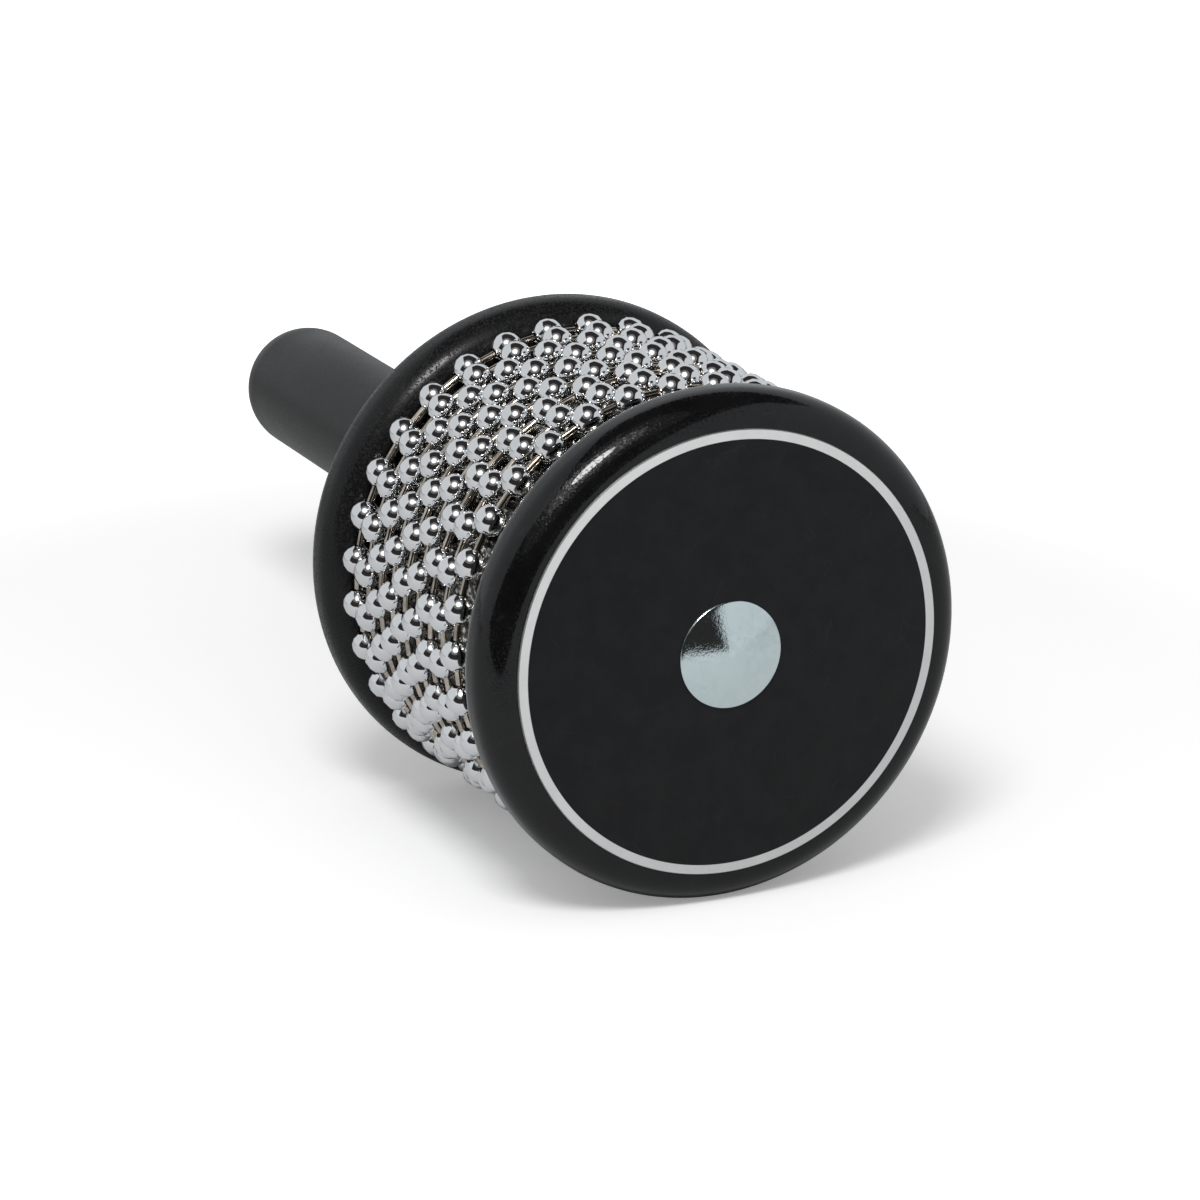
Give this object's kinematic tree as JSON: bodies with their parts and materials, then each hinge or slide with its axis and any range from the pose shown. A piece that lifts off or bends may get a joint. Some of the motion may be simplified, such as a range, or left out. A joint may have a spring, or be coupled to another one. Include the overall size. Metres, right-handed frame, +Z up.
{
  "type": "cabasa",
  "caption": "Hand cabasa: loops of steel balls turn on a textured metal drum held between two black discs, on a straight black handle",
  "frame": {"origin": "On the surface the cabasa lies on, below the middle of its length, on the line under its axis", "axes": "+X along the drum's axis from the handle's end to the capped front disc, +Y across to the side, +Z up from the surface"},
  "size_m": [0.2274, 0.1016, 0.1016],
  "materials": {
    "disc_lacquer": "satin",
    "plate_black": "matte",
    "core_wood": "matte",
    "sleeve_steel": "satin",
    "bolt_zinc": "satin",
    "insert_brass": "satin",
    "handle_black": "matte",
    "ball_chrome": "polished",
    "pin_nickel": "satin"
  },
  "bodies": {
    "drum": {"front_disc": "disc_lacquer", "face_plate": "plate_black", "rear_disc": "disc_lacquer", "drum_core": "core_wood", "drum_sleeve": "sleeve_steel", "clamp_bolt": "bolt_zinc", "handle_insert": "insert_brass", "handle": "handle_black"},
    "chain_1": {"chain_1_balls": "ball_chrome", "chain_1_links": "pin_nickel"},
    "chain_2": {"chain_2_balls": "ball_chrome", "chain_2_links": "pin_nickel"},
    "chain_3": {"chain_3_balls": "ball_chrome", "chain_3_links": "pin_nickel"},
    "chain_4": {"chain_4_balls": "ball_chrome", "chain_4_links": "pin_nickel"},
    "chain_5": {"chain_5_balls": "ball_chrome", "chain_5_links": "pin_nickel"},
    "chain_6": {"chain_6_balls": "ball_chrome", "chain_6_links": "pin_nickel"},
    "chain_7": {"chain_7_balls": "ball_chrome", "chain_7_links": "pin_nickel"},
    "chain_8": {"chain_8_balls": "ball_chrome", "chain_8_links": "pin_nickel"},
    "chain_9": {"chain_9_balls": "ball_chrome", "chain_9_links": "pin_nickel"}
  },
  "joints": [
    {"name": "chain_1_turn", "type": "hinge", "parent": "drum", "child": "chain_1", "pos_m": [0.0873, 0, 0.0508], "axis": [1, 0, 0], "continuous": true},
    {"name": "chain_2_turn", "type": "hinge", "parent": "drum", "child": "chain_2", "pos_m": [0.0812, 0, 0.0508], "axis": [1, 0, 0], "continuous": true},
    {"name": "chain_3_turn", "type": "hinge", "parent": "drum", "child": "chain_3", "pos_m": [0.0751, 0, 0.0508], "axis": [1, 0, 0], "continuous": true},
    {"name": "chain_4_turn", "type": "hinge", "parent": "drum", "child": "chain_4", "pos_m": [0.069, 0, 0.0508], "axis": [1, 0, 0], "continuous": true},
    {"name": "chain_5_turn", "type": "hinge", "parent": "drum", "child": "chain_5", "pos_m": [0.0629, 0, 0.0508], "axis": [1, 0, 0], "continuous": true},
    {"name": "chain_6_turn", "type": "hinge", "parent": "drum", "child": "chain_6", "pos_m": [0.0568, 0, 0.0508], "axis": [1, 0, 0], "continuous": true},
    {"name": "chain_7_turn", "type": "hinge", "parent": "drum", "child": "chain_7", "pos_m": [0.0507, 0, 0.0508], "axis": [1, 0, 0], "continuous": true},
    {"name": "chain_8_turn", "type": "hinge", "parent": "drum", "child": "chain_8", "pos_m": [0.0446, 0, 0.0508], "axis": [1, 0, 0], "continuous": true},
    {"name": "chain_9_turn", "type": "hinge", "parent": "drum", "child": "chain_9", "pos_m": [0.0385, 0, 0.0508], "axis": [1, 0, 0], "continuous": true}
  ]
}
